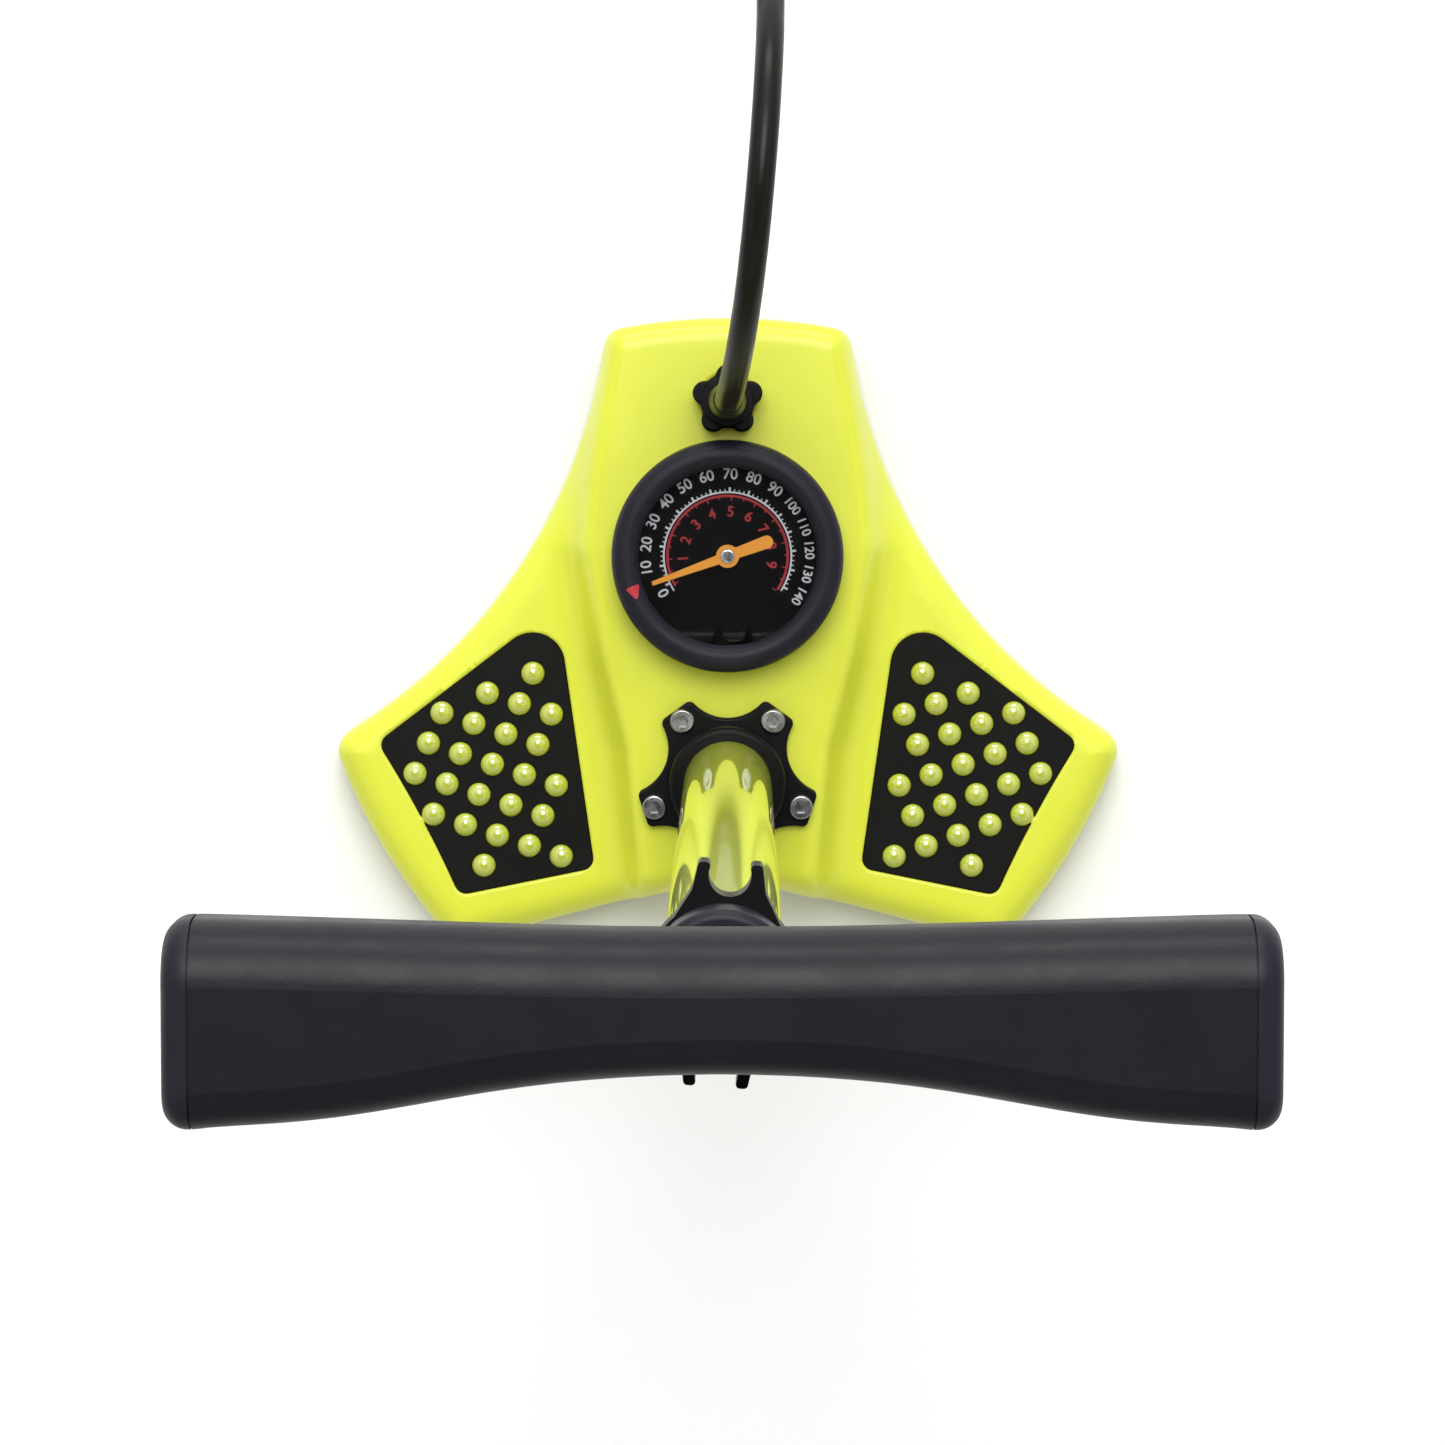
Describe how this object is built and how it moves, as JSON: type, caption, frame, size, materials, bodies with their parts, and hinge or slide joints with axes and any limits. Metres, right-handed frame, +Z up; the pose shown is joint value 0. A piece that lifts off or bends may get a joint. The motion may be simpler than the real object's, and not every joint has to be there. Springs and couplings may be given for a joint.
{
  "type": "floor pump",
  "caption": "Upright hand-worked floor pump for tyres, with a lobed base held down by the feet, a pressure gauge, a wide T handle and a hose that ends in a lever head.",
  "frame": {"origin": "on the floor under the middle of the base, under its three rubber feet", "axes": "+Z up along the barrel, +Y towards the gauge and the hose port, +X to the right-hand foot pad"},
  "size_m": [0.2708, 0.4717, 0.6481],
  "materials": {
    "lime_plastic": "satin moulded, yellow-green",
    "lime_lacquer": "gloss lacquer over steel, yellow-green",
    "black_plastic": "matte glass-filled nylon, black",
    "charcoal_plastic": "fine matte, charcoal",
    "grip_rubber": "soft-touch, charcoal",
    "pad_rubber": "matte, black",
    "seal_rubber": "smooth, black",
    "hose_rubber": "smooth, black",
    "steel": "polished",
    "screw_steel": "bright zinc",
    "brass": "machined",
    "spring_steel": "drawn wire",
    "dial_black": "matte print on black",
    "needle_orange": "matte, orange",
    "marker_red": "satin, red",
    "lens_clear": "clear acrylic",
    "tie_fabric": "hook-and-loop strap"
  },
  "bodies": {
    "root": {"base_shell": "lime_plastic", "base_cover": "black_plastic", "cover_screws": "screw_steel", "foot_left": "seal_rubber", "foot_right": "seal_rubber", "foot_front": "seal_rubber", "foot_pad_left": "pad_rubber", "foot_pad_right": "pad_rubber", "air_manifold": "black_plastic", "barrel_gasket": "seal_rubber", "check_valve_seat": "brass", "check_valve_spring": "spring_steel", "barrel_tube": "lime_lacquer", "barrel_flange": "black_plastic", "flange_screws": "screw_steel", "hose_clip": "black_plastic", "barrel_cap": "charcoal_plastic", "guide_bush": "black_plastic", "rod_wiper": "seal_rubber", "gauge_case": "black_plastic", "gauge_dial": "dial_black", "gauge_lens": "lens_clear", "movement_frame": "brass", "bourdon_tube": "brass", "gauge_stem": "brass", "hose_barb": "brass", "hose": "hose_rubber", "hose_coil": "hose_rubber", "hose_end": "hose_rubber", "hose_tie": "tie_fabric", "head_body": "charcoal_plastic", "head_plunger": "black_plastic", "head_gasket": "seal_rubber", "head_gland": "lime_plastic", "head_ferrule": "screw_steel", "lever_pin": "steel"},
    "piston": {"piston_head": "black_plastic", "piston_cup": "seal_rubber"},
    "handle": {"piston_rod": "steel", "piston_nut": "screw_steel", "rod_bumper": "seal_rubber", "handle_grip": "grip_rubber", "handle_core": "black_plastic", "handle_hub": "charcoal_plastic", "handle_bolt": "screw_steel", "handle_cap_left": "charcoal_plastic", "handle_cap_right": "charcoal_plastic"},
    "bezel": {"gauge_bezel": "charcoal_plastic", "bezel_marker": "marker_red"},
    "needle": {"gauge_needle": "needle_orange", "needle_pin": "steel", "gauge_pinion": "brass"},
    "sector": {"gauge_sector": "brass", "gauge_link": "screw_steel"},
    "valve_disc": {"check_valve_disc": "brass"},
    "hose_nut": {"hose_nut": "black_plastic"},
    "lever": {"head_lever": "black_plastic"}
  },
  "joints": [
    {"name": "plunger_slide", "type": "slide", "parent": "root", "child": "piston", "axis": [0, 0, 1], "range_m": [0, 0.48]},
    {"name": "handle_spin", "type": "hinge", "parent": "piston", "child": "handle", "pos_m": [0, -0.0499, 0.63], "axis": [0, 0, 1], "continuous": true},
    {"name": "bezel_turn", "type": "hinge", "parent": "root", "child": "bezel", "pos_m": [0, 0.0278, 0.06], "axis": [0, 0, 1], "continuous": true},
    {"name": "sector_turn", "type": "hinge", "parent": "root", "child": "sector", "pos_m": [-0.01591, 0.01189, 0.0485], "axis": [0, 0, 1], "range_deg": [0, 29], "stiffness_Nm_per_rad": 0.01},
    {"name": "needle_turn", "type": "hinge", "parent": "root", "child": "needle", "pos_m": [0, 0.0278, 0.058], "axis": [0, 0, 1], "range_deg": [-232, 0]},
    {"name": "valve_disc_slide", "type": "slide", "parent": "root", "child": "valve_disc", "axis": [0, 0, -1], "range_m": [0, 0.0015], "stiffness_N_per_m": 150, "springref_m": -0.002, "deforming": ["check_valve_spring"]},
    {"name": "hose_nut_turn", "type": "hinge", "parent": "root", "child": "hose_nut", "pos_m": [0, 0.0805, 0.058], "axis": [0, 0, 1], "continuous": true},
    {"name": "lever_swing", "type": "hinge", "parent": "root", "child": "lever", "pos_m": [-0.0726, 0.30243, 0.0122], "axis": [0, 0, -1], "range_deg": [0, 90]}
  ],
  "couplings": [
    {"joint": "needle_turn", "follows": "sector_turn", "ratio": -8}
  ]
}
